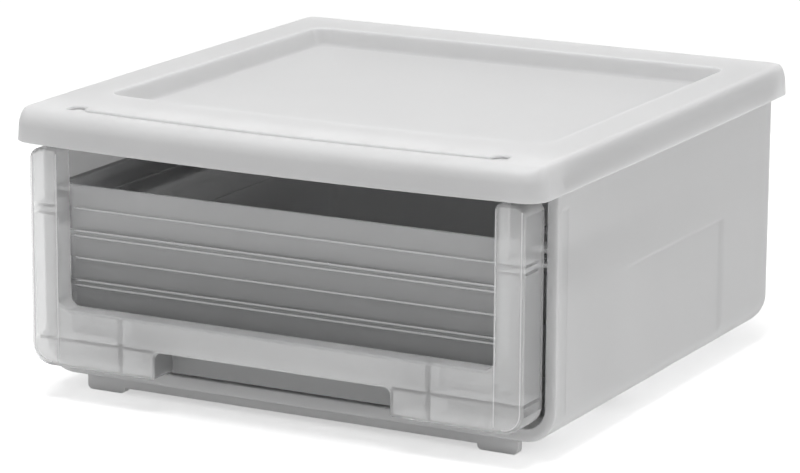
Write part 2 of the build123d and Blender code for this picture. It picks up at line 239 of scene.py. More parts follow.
# painted highlight: the bright strips along the front's edges
PAINTED_EDGE_HIGHLIGHT = PlasticFinish(
    "painted_edge_highlight", (0.95, 0.95, 0.955), 0.25, grain_depth=0.004, clear=0.3, bend=1.2
)


# ------------------------------------------------------------- drawing tools
def rounded(corners: Sequence[Corner], closed: bool = False, steps: int = 4) -> list[Point]:
    """Round the corners of a line.

    Args:
        corners: Two coordinates and a radius each.
        closed: Whether the last corner joins the first.
        steps: How many edges each round corner gets.

    Returns:
        The line's points.
    """
    points: list[Point] = []
    last = len(corners) - 1
    for number, (x, y, radius) in enumerate(corners):
        if radius <= 0 or (not closed and number in (0, last)):
            points.append((x, y))
            continue
        corner = Vector((x, y))
        back = (Vector(corners[number - 1][:2]) - corner).normalized()
        onward = (Vector(corners[(number + 1) % len(corners)][:2]) - corner).normalized()
        half = back.angle(onward) / 2
        centre = corner + (back + onward).normalized() * (radius / math.sin(half))
        start = corner + back * (radius / math.tan(half)) - centre
        end = corner + onward * (radius / math.tan(half)) - centre
        first = math.atan2(start.y, start.x)
        turn = math.remainder(math.atan2(end.y, end.x) - first, math.tau)
        for step in range(steps + 1):
            angle = first + turn * step / steps
            points.append(
                (centre.x + radius * math.cos(angle), centre.y + radius * math.sin(angle))
            )
    return points


def eased(value: float, start: float, end: float) -> float:
    """Rise smoothly from 0 at the start to 1 at the end."""
    share = min(1.0, max(0.0, (value - start) / (end - start)))
    return share * share * (3 - 2 * share)


@dataclass
class Outline:
    """A plan outline with round corners, whose front and sides may bow outwards."""

    half_width: float
    front: float
    rear: float
    radius: float
    bow: float = 0.0
    side_bow: float = 0.0
    front_steps: int = 48
    side_steps: int = 32
    corner_steps: int = 12
    passes: int = 40
    points: list[EdgePoint] = field(default_factory=list)

    def __post_init__(self) -> None:
        """Work out the points and their outward directions once."""
        half, bow, side_bow = self.half_width, self.bow, self.side_bow
        corner_y = self.front + bow
        front_radius = (half**2 + bow**2) / (2 * bow) if bow else 0.0
        front_y = self.front + front_radius
        length = (self.rear - corner_y) / 2
        side_radius = (length**2 + side_bow**2) / (2 * side_bow) if side_bow else 0.0
        side_x, side_y = half + side_bow - side_radius, corner_y + length

        def side_at(y: float) -> float:
            """Find the place across of a corner's centre that touches the side.

            Args:
                y: The centre's place along the side.

            Returns:
                Its place across.
            """
            if not side_bow:
                return half - self.radius
            return side_x + math.sqrt((side_radius - self.radius) ** 2 - (y - side_y) ** 2)

        x, y = half - self.radius, corner_y + self.radius
        for _ in range(self.passes):
            if bow:
                y = front_y - math.sqrt((front_radius - self.radius) ** 2 - x**2)
            x = side_at(y)
        rear_y = self.rear - self.radius
        rear_x = side_at(rear_y)
        front_turn = math.atan2(y - front_y, x) if bow else -math.pi / 2
        low_turn = math.atan2(y - side_y, x - side_x) if side_bow else 0.0
        high_turn = math.atan2(rear_y - side_y, rear_x - side_x) if side_bow else 0.0

        right: list[EdgePoint] = []
        for step in range(self.front_steps // 2 + 1):
            share = step / (self.front_steps // 2)
            turn = -math.pi / 2 + (front_turn + math.pi / 2) * share
            way = (math.cos(turn), math.sin(turn))
            if bow:
                right.append((front_radius * way[0], front_y + front_radius * way[1], *way))
            else:
                right.append((x * share, self.front, 0.0, -1.0))
        self.add_arc(right, (x, y), front_turn, low_turn)
        for step in range(1, self.side_steps):
            share = step / self.side_steps
            turn = low_turn + (high_turn - low_turn) * share
            way = (math.cos(turn), math.sin(turn))
            if side_bow:
                right.append((side_x + side_radius * way[0], side_y + side_radius * way[1], *way))
            else:
                right.append((half, y + (rear_y - y) * share, 1.0, 0.0))
        self.add_arc(right, (rear_x, rear_y), high_turn, math.pi / 2, start=0)
        for step in range(1, self.front_steps // 2 + 1):
            share = step / (self.front_steps // 2)
            right.append((rear_x * (1 - share), self.rear, 0.0, 1.0))
        left = [(-px, py, -nx, ny) for px, py, nx, ny in right[-2:0:-1]]
        self.points = right + left

    def add_arc(
        self,
        points: list[EdgePoint],
        centre: Point,
        start_turn: float,
        end_turn: float,
        start: int = 1,
    ) -> None:
        """Add a round corner's points to a line.

        Args:
            points: The line so far.
            centre: The corner's centre.
            start_turn: The direction in which the corner starts.
            end_turn: The direction in which it ends.
            start: The first step that is added.
        """
        for step in range(start, self.corner_steps + 1):
            turn = start_turn + (end_turn - start_turn) * step / self.corner_steps
            way = (math.cos(turn), math.sin(turn))
            x, y = (middle + self.radius * part for middle, part in zip(centre, way))
            points.append((x, y, *way))

    def ring(
        self, inset: float, level: float, keep: float = math.inf, squeeze: float = 1.0
    ) -> list[Vector]:
        """Give the outline at a level, drawn in by an inset.

        Args:
            inset: How far it is drawn in.
            level: Its level.
            keep: The inset from which the sides are drawn in less.
            squeeze: The share of the rest by which the sides are drawn in.

        Returns:
            Its points in metres.
        """
        across = inset if inset <= keep else keep + (inset - keep) * squeeze
        return [
            Vector((x - nx * across, y - ny * inset, level)) * MM for x, y, nx, ny in self.points
        ]


def loft(
    mesh: BMesh,
    rings: Sequence[Sequence[Vector]],
    skip: Callable[[int, int], bool] | None = None,
) -> list[list[BMVert]]:
    """Join closed rings of the same length with faces, and fill the first and the last.

    Args:
        mesh: The mesh that takes the faces.
        rings: The rings in order.
        skip: Tells whether the face after a ring and a point is left out.

    Returns:
        The rings' vertices.
    """
    rows = [[mesh.verts.new(point) for point in ring] for ring in rings]
    count = len(rows[0])
    for row in range(len(rows) - 1):
        for spot in range(count):
            if skip and skip(row, spot):
                continue
            after = (spot + 1) % count
            mesh.faces.new(
                (rows[row][spot], rows[row][after], rows[row + 1][after], rows[row + 1][spot])
            )
    mesh.faces.new(rows[0])
    mesh.faces.new(rows[-1])
    return rows


def add_block(mesh: BMesh, low: Place, high: Place, radius: float = 0.5) -> None:
    """Add a box with rounded edges.

    Args:
        mesh: The mesh that takes it.
        low: Its low corner in millimetres.
        high: Its high corner in millimetres.
        radius: The radius of its edges in millimetres.
    """
    size = Vector(high) - Vector(low)
    middle = (Vector(high) + Vector(low)) / 2 * MM
    place = Matrix.Translation(middle) @ Matrix.Diagonal((*(size * MM), 1.0))
    made = bmesh.ops.create_cube(mesh, size=1.0, matrix=place)
    edges = {edge for vert in made["verts"] for edge in vert.link_edges}
    bmesh.ops.bevel(
        mesh, geom=list(edges), offset=radius * MM, segments=3, profile=0.5, affect="EDGES"
    )


def make_object(mesh: BMesh, name: str, material: bpy.types.Material) -> bpy.types.Object:
    """Turn a built mesh into an object in the scene.

    Args:
        mesh: The built mesh, which is used up.
        name: The piece's name.
        material: Its material.

    Returns:
        The object, with its doubles merged and its faces pointing outwards.
    """
    bmesh.ops.remove_doubles(mesh, verts=mesh.verts, dist=WELD)
    bmesh.ops.recalc_face_normals(mesh, faces=mesh.faces)
    data = bpy.data.meshes.new(name)
    mesh.to_mesh(data)
    mesh.free()
    data.materials.append(material)
    piece = bpy.data.objects.new(name, data)
    bpy.context.scene.collection.objects.link(piece)
    return piece


def bake(piece: bpy.types.Object) -> None:
    """Turn a piece and its modifiers into a plain mesh.

    Args:
        piece: The piece, which loses its modifiers.
    """
    shape = piece.evaluated_get(bpy.context.evaluated_depsgraph_get())
    data = bpy.data.meshes.new_from_object(shape)
    piece.modifiers.clear()
    piece.data = data


def smooth(piece: bpy.types.Object) -> bpy.types.Object:
    """Shade a piece smoothly, and keep its flat faces flat.

    Args:
        piece: The piece.

    Returns:
        The same piece.
    """
    piece.data.shade_smooth()
    piece.data.set_sharp_from_angle(angle=math.radians(SHARP_ANGLE))
    weights = piece.modifiers.new("flat_faces", "WEIGHTED_NORMAL")
    weights.keep_sharp = True
    bake(piece)
    return piece


def repeat_tree() -> bpy.types.NodeTree:
    """Build the nodes that set a piece in a line a number of times.

    Returns:
        A tree with the inputs Piece, Count, Start, Step and Material.
    """
    tree = bpy.data.node_groups.new("repeat_in_line", "GeometryNodeTree")
    face = tree.interface
    face.new_socket("Geometry", in_out="OUTPUT", socket_type="NodeSocketGeometry")
    for name, kind in (
        ("Geometry", "Geometry"),
        ("Piece", "Object"),
        ("Count", "Int"),
        ("Start", "Vector"),
        ("Step", "Vector"),
        ("Material", "Material"),
    ):
        face.new_socket(name, in_out="INPUT", socket_type=f"NodeSocket{kind}")
    nodes, links = tree.nodes, tree.links
    given = nodes.new("NodeGroupInput")
    result = nodes.new("NodeGroupOutput")
    line = nodes.new("GeometryNodeMeshLine")
    info = nodes.new("GeometryNodeObjectInfo")
    set_out = nodes.new("GeometryNodeInstanceOnPoints")
    real = nodes.new("GeometryNodeRealizeInstances")
    dress = nodes.new("GeometryNodeSetMaterial")
    links.new(given.outputs["Count"], line.inputs["Count"])
    links.new(given.outputs["Start"], line.inputs["Start Location"])
    links.new(given.outputs["Step"], line.inputs["Offset"])
    links.new(given.outputs["Piece"], info.inputs["Object"])
    links.new(line.outputs["Mesh"], set_out.inputs["Points"])
    links.new(info.outputs["Geometry"], set_out.inputs["Instance"])
    links.new(set_out.outputs["Instances"], real.inputs["Geometry"])
    links.new(real.outputs["Geometry"], dress.inputs["Geometry"])
    links.new(given.outputs["Material"], dress.inputs["Material"])
    links.new(dress.outputs["Geometry"], result.inputs["Geometry"])
    return tree


def repeated(
    tree: bpy.types.NodeTree,
    blank: bpy.types.Object,
    count: int,
    start: Place,
    step: Place,
    material: bpy.types.Material,
) -> bpy.types.Mesh:
    """Set a blank in a line.

    Args:
        tree: The nodes of repeat_tree.
        blank: The shape that repeats.
        count: How many there are.
        start: Where the first stands, in millimetres.
        step: The way from one to the next, in millimetres.
        material: Their material.

    Returns:
        A plain mesh of all of them.
    """
    holder = bpy.data.objects.new("holder", bpy.data.meshes.new("holder"))
    bpy.context.scene.collection.objects.link(holder)
    modifier = holder.modifiers.new("repeat", "NODES")
    modifier.node_group = tree
    values = {
        "Piece": blank,
        "Count": count,
        "Start": [part * MM for part in start],
        "Step": [part * MM for part in step],
        "Material": material,
    }
    for item in tree.interface.items_tree:
        if item.in_out == "INPUT" and item.name in values:
            modifier[item.identifier] = values[item.name]
    shape = holder.evaluated_get(bpy.context.evaluated_depsgraph_get())
    mesh = bpy.data.meshes.new_from_object(shape)
    bpy.data.objects.remove(holder)
    return mesh


def settle(piece: bpy.types.Object, body: Body, slot: Slot, *nodes: str) -> None:
    """Give a finished piece to its body, in place of CAD nodes.

    Args:
        piece: The finished piece.
        body: The body that it rides on.
        slot: The record's slot; not used.
        nodes: The CAD nodes that it replaces.
    """
    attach(piece, body.value)
    if nodes:
        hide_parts(*nodes)
    log.info("%s: %d faces", piece.name, len(piece.data.polygons))


# ------------------------------------------------------------------ the cover
@dataclass
class TopCover:
    """The cover: a deep skirt with a bowed front, a sunk recess and a groove along its front."""

    half_width: float = 199.8
    front: float = -215.0
    rear: float = 215.0
    bow: float = 9.5
    side_bow: float = 1.6
    radius: float = 16.0
    top: float = 203.0
    foot: float = 180.0
    foot_edge: float = 0.8
    flare: float = 1.5
    edge: float = 12.0
    side_squeeze: float = 0.4
    flat_inset: float = 14.5
    wall: float = 2.5
    lining_edge: float = 0.4
    lining_draft: float = 0.2
    recess_half: float = 168.5
    recess_front: float = -138.0
    recess_rear: float = 167.0
    recess_bow: float = 6.5
    recess_radius: float = 14.0
    recess_depth: float = 13.0
    recess_run: float = 5.5
    recess_edge: float = 1.8
    recess_root: float = 3.5
    recess_border: float = 5.0
    recess_inset: float = 11.0
    under_edge: float = 1.5
    under_root: float = 2.0
    under_border: float = 6.0
    groove_front: float = -197.5
    groove_half: float = 166.0
    groove_width: float = 7.0
    groove_bow: float = 7.5
    groove_depth: float = 2.8
    groove_steps: int = 40
    groove_corner: float = 4.0
    groove_edge: float = 1.0
    groove_root: float = 1.2
    cutter_rise: float = 1.5
    lobe_length: float = 12.0
    lobe_width: float = 15.0
    lobe_radius: float = 5.0
    lobe_root: float = 2.0
    lobe_clear: float = 4.0
    rib_count: int = 5
    rib_foot: float = 190.0
    rib_pitch_x: float = 59.94
    rib_pitch_y: float = 64.5
    rib_half: float = 1.0
    rib_overlap: float = 0.3
    rib_cut: float = 6.0
    rib_cut_run: float = 7.0
    rib_front: float = 7.5
    rib_front_overlap: float = 0.8
    rib_rear: float = 3.8
    rib_rear_gap: float = 5.0
    rib_side: float = 3.6
    rib_side_overlap: float = 0.2

    def shell(self, material: bpy.types.Material) -> bpy.types.Object:
        """Loft the cover as one closed wall and cut its groove.

        Args:
            material: Its material.

        Returns:
            The cover without its ribs.
        """
        plan = Outline(
            self.half_width, self.front, self.rear, self.radius, self.bow, self.side_bow
        )
        recess = Outline(
            self.recess_half, self.recess_front, self.recess_rear, self.recess_radius,
            self.recess_bow,
        )
        wall, top, floor = self.wall, self.top, self.top - self.recess_depth
        slope = self.recess_run / self.recess_depth
        under = rounded([
            (self.recess_inset, floor - wall, 0),
            (self.recess_run - wall + slope * wall, floor - wall, self.under_root),
            (slope * wall - wall, top - wall, self.under_edge),
            (-self.under_border, top - wall, 0),
        ])
        inner = self.flare + wall - self.lining_draft
        lining = rounded([
            (self.flat_inset, top - wall, 0),
            (inner, top - wall, self.edge - wall),
            (wall, self.foot, self.lining_edge),
            (wall / 2, self.foot, 0),
        ], steps=8)
        skirt = rounded([
            (wall / 2, self.foot, 0),
            (0, self.foot, self.foot_edge),
            (self.flare, top, self.edge),
            (self.flat_inset, top, 0),
        ], steps=8)
        dish = rounded([
            (-self.recess_border, top, 0),
            (0, top, self.recess_edge),
            (self.recess_run, floor, self.recess_root),
            (self.recess_inset, floor, 0),
        ], steps=6)
        mesh = bmesh.new()
        rings = [recess.ring(inset, level) for inset, level in under]
        rings += [plan.ring(*spot, inner, self.side_squeeze) for spot in lining]
        rings += [plan.ring(*spot, self.flare, self.side_squeeze) for spot in skirt[1:]]
        rings += [recess.ring(inset, level) for inset, level in dish]
        loft(mesh, rings)
        piece = make_object(mesh, "cover_shell", material)
        skin = self.groove_skin(material)
        cutter = self.groove_cutter(material)
        joined = bmesh.new()
        for part in (piece, skin):
            cut = part.modifiers.new("groove", "BOOLEAN")
            cut.object = cutter
            cut.operation = "DIFFERENCE"
            cut.solver = "EXACT"
            bake(part)
            joined.from_mesh(part.data)
        joined.to_mesh(piece.data)
        joined.free()
        bpy.data.objects.remove(skin)
        bpy.data.objects.remove(cutter)
        return smooth(piece)

    def groove_line(self, grow: float) -> list[Point]:
        """Draw the groove's outline, whose ends turn to the rear.

        Args:
            grow: How far the outline is drawn outwards.

        Returns:
            The outline's points in millimetres.
        """
        half = self.groove_half
        inner = half - self.lobe_length
        end = self.groove_front + self.groove_bow
        lobe_end = end + self.lobe_width
        front, back = [], []
        for step in range(1, self.groove_steps):
            x = (2 * step / self.groove_steps - 1) * half
            sag = self.groove_bow * (x / half) ** 2
            front.append((x, self.groove_front + sag, 0))
            if abs(x) < inner - self.lobe_clear:
                back.append((x, self.groove_front + self.groove_width + sag, 0))
        root = self.groove_front + self.groove_width + self.groove_bow * (inner / half) ** 2
        right = [
            (half, end, self.groove_corner),
            (half, lobe_end, self.lobe_radius),
            (inner, lobe_end, self.lobe_radius),
            (inner, root, self.lobe_root),
        ]
        left = [(-x, y, radius) for x, y, radius in right]
        corners = [left[0], *front, *right, *back[::-1], *left[:0:-1]]
        line = [Vector(point) for point in rounded(corners, closed=True)]
        grown = []
        for number, point in enumerate(line):
            along = line[(number + 1) % len(line)] - line[number - 1]
            grown.append(point + Vector((along.y, -along.x)).normalized() * grow)
        return [(point.x, point.y) for point in grown]

    def groove_body(
        self, profile: Sequence[Point], name: str, material: bpy.types.Material
    ) -> bpy.types.Object:
        """Build a solid that follows the groove's outline.

        Args:
            profile: How far it stands outside the outline, and at which level.
            name: Its name.
            material: Its material.

        Returns:
            The solid.
        """
        mesh = bmesh.new()
        loft(mesh, [
            [Vector((x, y, level)) * MM for x, y in self.groove_line(grow)]
            for grow, level in profile
        ])
        return make_object(mesh, name, material)

    def groove_skin(self, material: bpy.types.Material) -> bpy.types.Object:
        """Build the wall that hangs under the top and holds the groove's floor."""
        low, high = self.top - self.groove_depth - self.wall, self.top - self.wall
        return self.groove_body([(self.wall, low), (self.wall, high)], "groove_skin", material)

    def groove_cutter(self, material: bpy.types.Material) -> bpy.types.Object:
        """Build the solid that cuts the groove, with a soft lip and a soft floor.

        Args:
            material: Its material.

        Returns:
            The solid.
        """
        floor, edge, root = self.top - self.groove_depth, self.groove_edge, self.groove_root
        profile = [(edge, self.top + self.cutter_rise)]
        profile += [
            (edge - edge * math.sin(turn), self.top - edge + edge * math.cos(turn))
            for turn in FINE_TURNS
        ]
        profile += [
            (-root * (1 - math.cos(turn)), floor + root * (1 - math.sin(turn)))
            for turn in COARSE_TURNS
        ]
        return self.groove_body(profile, "groove_cutter", material)

    def rib_blank(
        self, length: float, turn: float, material: bpy.types.Material
    ) -> bpy.types.Object:
        """Build one rib that runs inwards from the skirt.

        Args:
            length: How far it runs.
            turn: The direction in which it runs, in degrees from the rear.
            material: Its material.

        Returns:
            The rib, with the skirt at the origin.
        """
        high = self.top - self.wall + self.rib_overlap - self.rib_foot
        profile = [
            (0, 0), (length, 0), (length, high), (self.rib_cut_run, high), (0, high - self.rib_cut)
        ]
        mesh = bmesh.new()
        loft(mesh, [
            [Vector((side, run, level)) * MM for run, level in profile]
            for side in (-self.rib_half, self.rib_half)
        ])
        mesh.transform(Matrix.Rotation(math.radians(turn), 4, "Z"))
        return make_object(mesh, "rib_blank", material)

    def ribs(self, tree: bpy.types.NodeTree, material: bpy.types.Material) -> bpy.types.Object:
        """Set the ribs that stand on the casing's flange inside the skirt.

        Args:
            tree: The nodes of repeat_tree.
            material: Their material.

        Returns:
            All ribs as one piece.
        """
        front, rear = self.front + self.rib_front, self.rear - self.rib_rear
        side = self.half_width - self.rib_side
        front_run = self.recess_front + self.rib_front_overlap - front
        rear_run = self.rear - self.rib_rear_gap - self.recess_rear
        side_run = side - self.recess_half + self.rib_side_overlap
        left = -(self.rib_count // 2) * self.rib_pitch_x
        near = -(self.rib_count // 2) * self.rib_pitch_y
        across, along = (self.rib_pitch_x, 0, 0), (0, self.rib_pitch_y, 0)
        rows = [
            (front_run, 0, (left, front, self.rib_foot), across),
            (rear_run, 180, (left, rear, self.rib_foot), across),
            (side_run, 90, (side, near, self.rib_foot), along),
            (side_run, -90, (-side, near, self.rib_foot), along),
        ]
        mesh = bmesh.new()
        for length, turn, start, step in rows:
            blank = self.rib_blank(length, turn, material)
            row = repeated(tree, blank, self.rib_count, start, step, material)
            mesh.from_mesh(row)
            bpy.data.objects.remove(blank)
            bpy.data.meshes.remove(row)
        return make_object(mesh, "cover_ribs", material)

    def build(self, tree: bpy.types.NodeTree) -> None:
        """Build and dress the cover.

        Args:
            tree: The nodes of repeat_tree.
        """
        material = COVER_SATIN.material()
        settle(self.shell(material), Body.CASING, Slot.COVER, "top_cover")
        settle(self.ribs(tree, material), Body.CASING, Slot.COVER)


# ----------------------------------------------------------------- the casing
@dataclass
class Casing:
    """The casing: an open-fronted box with a front rim and a shallow panel in each side."""

    half_width: float = 197.0
    front: float = -171.0
    rear: float = 197.0
    bottom: float = 12.0
    top: float = 190.0
    low_radius: float = 23.0
    rear_radius: float = 18.0
    wall: float = 2.5
    rim_side: float = 8.5
    rim_bottom: float = 9.0
    rim_top: float = 10.0
    rim_depth: float = 3.0
    rim_chamfer: float = 0.4
    edge: float = 1.0
    opening_half: float = 174.0
    opening_front: float = -155.0
    opening_rear: float = 175.0
    groove_front: float = -166.0
    groove_width: float = 11.0
    groove_depth: float = 0.9
    groove_top: float = 169.0
    groove_ease: tuple[float, float] = (0.8, 1.2)
    groove_top_ease: tuple[float, float] = (2.0, 1.0)
    panel_front: float = -86.0
    panel_fade: float = 70.0
    panel_rear: float = 103.0
    panel_step: float = 9.0
    panel_depth: float = 1.6
    panel_top: float = 109.5
    panel_top_ease: tuple[float, float] = (2.0, 0.8)
    corner_steps: int = 12
    bottom_steps: int = 24
    top_steps: int = 16
    wall_steps: int = 20
    fine_rows: int = 4
    fine_pitch: float = 0.8
    front_steps: int = 20
    run_steps: int = 33
    step_rows: tuple[int, int] = (-1, 12)
    rear_steps: int = 10
    slack: float = 0.01

    def shares(self) -> list[float]:
        """Give the rows of the side walls, closest where the panel and the groove end.

        Returns:
            Their places as shares of the walls' height over the round corner.
        """
        low, high = self.bottom + self.low_radius, self.top
        steps = self.wall_steps
        levels = {low + (high - low) * step / steps for step in range(steps + 1)}
        for middle in (self.panel_top, self.groove_top):
            for offset in range(-self.fine_rows, self.fine_rows + 1):
                levels.add(middle + offset * self.fine_pitch)
        return [(level - low) / (high - low) for level in sorted(levels)]

    def loop(self, y: float, inset: float, top: float, mouth: bool = False) -> list[Vector]:
        """Draw the casing's section across X as a closed ring.

        Args:
            y: Where it lies.
            inset: How far it is drawn in from the outer walls, or from the mouth.
            top: Its highest level.
            mouth: Whether it follows the mouth instead of the outer walls.

        Returns:
            The ring in metres: down the left wall, across the bottom, up the right and back.
        """
        half, bottom = self.half_width - inset, self.bottom + inset
        radius = self.low_radius - inset
        if mouth:
            half, radius = half - self.rim_side, radius - self.rim_side
            bottom += self.rim_bottom
        middle, low = half - radius, bottom + radius
        right = []
        for step in range(self.corner_steps):
            turn = math.pi / 2 * step / self.corner_steps
            right.append((middle + radius * math.sin(turn), low - radius * math.cos(turn)))
        right += [(half, low + (top - low) * share) for share in self.shares()]
        floor = [
            (middle * (2 * step / self.bottom_steps - 1), bottom)
            for step in range(1, self.bottom_steps)
        ]
        side = self.top_steps // 2
        points = [(-x, z) for x, z in reversed(right)] + floor + right
        points += [(self.opening_half * step / side, top) for step in range(side, -side - 1, -1)]
        return [Vector((x, y, z)) * MM for x, z in points]

    def sunk(self, y: float, z: float) -> float:
        """Tell how deep the groove or the panel lies in the side wall at a spot.

        Args:
            y: The spot's place along the wall.
            z: Its level.

        Returns:
            The depth in millimetres.
        """
        before, behind = self.groove_ease
        groove_rear = self.groove_front + self.groove_width
        groove = eased(y, self.groove_front - before, self.groove_front + behind)
        groove *= 1 - eased(y, groove_rear - behind, groove_rear + before)
        below, above = self.groove_top_ease
        groove *= 1 - eased(z, self.groove_top - below, self.groove_top + above)
        panel = eased(y, self.panel_front, self.panel_front + self.panel_fade)
        panel *= 1 - eased(y, self.panel_rear - self.panel_step, self.panel_rear)
        below, above = self.panel_top_ease
        panel *= 1 - eased(z, self.panel_top - below, self.panel_top + above)
        return max(self.groove_depth * groove, self.panel_depth * panel)

    def stations(self) -> list[float]:
        """Give the places along Y of the walls' sections, close together where a shape ends.

        Returns:
            The places in order.
        """
        start, end = self.front + self.rim_depth, self.rear - self.rear_radius
        places = set()
        for low, high, steps in (
            (start, self.opening_front, self.front_steps),
            (self.opening_front, self.opening_rear, self.run_steps),
        ):
            places |= {low + (high - low) * step / steps for step in range(steps + 1)}
        step_start = self.panel_rear - self.panel_step
        places |= {step_start + offset for offset in range(*self.step_rows)}
        places.add(end)
        return sorted(places)

    def sheet(self, inset: float, start: float, top: float) -> list[list[Vector]]:
        """Draw the sections of the outer or inner face of the walls.

        Args:
            inset: How far the face lies inside the outer face.
            start: Where it starts behind the rim.
            top: Its highest level.

        Returns:
            The sections from the front to the rear face.
        """
        rings = []
        for y in self.stations():
            if y < start - self.slack:
                continue
            ring = self.loop(y, inset, top)
            for point in ring:
                limit = self.half_width - inset - self.sunk(y, point.z / MM)
                point.x = max(-limit * MM, min(limit * MM, point.x))
            rings.append(ring)
        radius = self.rear_radius - inset
        for step in range(1, self.rear_steps + 1):
            turn = math.pi / 2 * step / self.rear_steps
            drawn = inset + radius * (1 - math.cos(turn))
            place = self.rear - self.rear_radius + radius * math.sin(turn)
            rings.append(self.loop(place, drawn, top))
        return rings

    def rim(self) -> list[list[Vector]]:
        """Draw the sections of the rim.

        Returns:
            The sections from its outer edge round the front and into the mouth.
        """
        edge, chamfer = self.edge, self.rim_chamfer
        back, mouth_top = self.front + self.rim_depth, self.top - self.rim_top
        rings = []
        for turn in FINE_TURNS:
            drawn = edge * (1 - math.cos(turn))
            place = self.front + edge * (1 - math.sin(turn))
            rings.append(self.loop(place, drawn, self.top - drawn))
        for turn in reversed(FINE_TURNS):
            drawn = -edge * (1 - math.cos(turn))
            place = self.front + edge * (1 - math.sin(turn))
            rings.append(self.loop(place, drawn, mouth_top - drawn, mouth=True))
        rings.append(self.loop(back - chamfer, 0, mouth_top, mouth=True))
        rings.append(self.loop(back, -chamfer, mouth_top + chamfer, mouth=True))
        return rings

    def shell(self, material: bpy.types.Material) -> bpy.types.Object:
        """Loft the casing's walls and rim, and leave the top open inside its flange.

        Args:
            material: Its material.

        Returns:
            The casing without its rails and feet.
        """
        back = self.front + self.rim_depth
        inside = self.sheet(self.wall, back, self.top - self.wall)
        chain = inside[::-1] + self.rim()[::-1] + self.sheet(0, back, self.top)
        last = len(chain[0]) - 1
        top_start = last - self.top_steps

        def open_top(row: int, spot: int) -> bool:
            """Tell whether a face lies in the top's opening.

            Args:
                row: The ring before the face.
                spot: The point before the face.

            Returns:
                Whether it does.
            """
            if not top_start <= spot < last:
                return False
            middle = (chain[row][0].y + chain[row + 1][0].y) / 2 / MM
            return self.opening_front < middle < self.opening_rear

        mesh = bmesh.new()
        rows = loft(mesh, chain, skip=open_top)
        self.close_opening(mesh, rows, top_start)
        return smooth(make_object(mesh, "casing_shell", material))

    def close_opening(self, mesh: BMesh, rows: list[list[BMVert]], top_start: int) -> None:
        """Join the flange's upper and lower face round the opening.

        Args:
            mesh: The casing's mesh.
            rows: Its sections' vertices.
            top_start: Where a section's top starts.
        """
        last = len(rows[0]) - 1
        low, high = self.opening_front * MM - WELD, self.opening_rear * MM + WELD
        beside = sorted(
            (row for row in rows if low < row[last].co.y < high), key=lambda row: row[last].co.y
        )
        split = (self.top - self.wall / 2) * MM
        inner = [row for row in beside if row[top_start].co.z < split]
        outer = [row for row in beside if row[top_start].co.z > split]
        for number in range(len(inner) - 1):
            for spot in (top_start, last):
                mesh.faces.new(
                    (inner[number][spot], inner[number + 1][spot],
                     outer[number + 1][spot], outer[number][spot])
                )
        for number in (0, -1):
            for spot in range(top_start, last):
                mesh.faces.new(
                    (inner[number][spot], inner[number][spot + 1],
                     outer[number][spot + 1], outer[number][spot])
                )

    def build(self, frame: dict) -> None:
        """Build the casing and dress the rails and feet, whose CAD shapes stay.

        Args:
            frame: The loaded frame, with its nodes.
        """
        material = CASING_SATIN.material()
        settle(self.shell(material), Body.CASING, Slot.CASING, "casing")
        for name, node in frame["nodes"].items():
            if name.endswith(("_rail", "_foot")):
                node.data.materials.clear()
                node.data.materials.append(material)
                log.info("%s: dressed", name)


